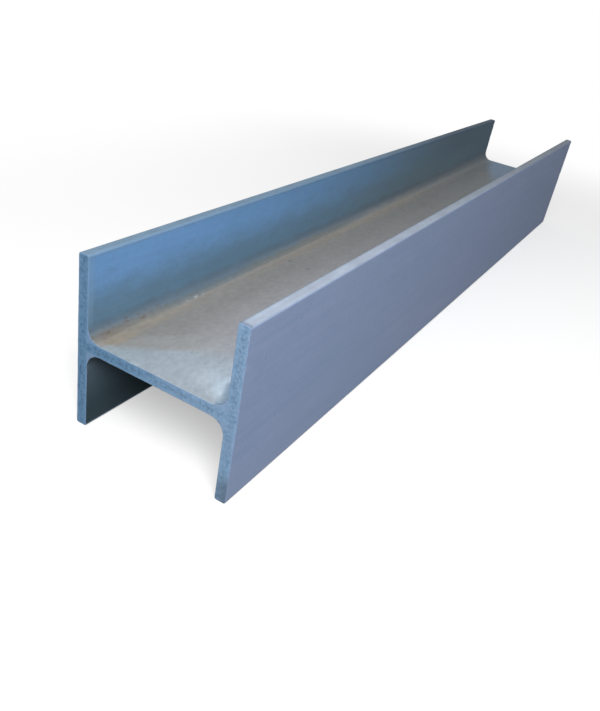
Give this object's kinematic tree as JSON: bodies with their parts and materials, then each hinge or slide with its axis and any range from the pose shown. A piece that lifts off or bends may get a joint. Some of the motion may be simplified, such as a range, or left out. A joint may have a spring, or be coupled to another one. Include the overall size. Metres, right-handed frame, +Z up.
{
  "type": "fibreglass i-beam",
  "caption": "Pultruded fibreglass wide-flange beam, an H in section with filleted roots and rounded flange edges, sawn square at both ends, lying on its flange tips with the web level.",
  "frame": {"origin": "on the ground under the middle of the beam, level with the lower tips of the flanges", "axes": "+Z up, +Y along the length from the near end of the picture to the far end, +X across the web from one flange to the other"},
  "size_m": [0.15, 1, 0.15],
  "materials": {
    "fibreglass": "satin pultruded skin with fine scuffs, matt where sawn"
  },
  "bodies": {
    "root": {"i_beam": "fibreglass"}
  },
  "joints": []
}
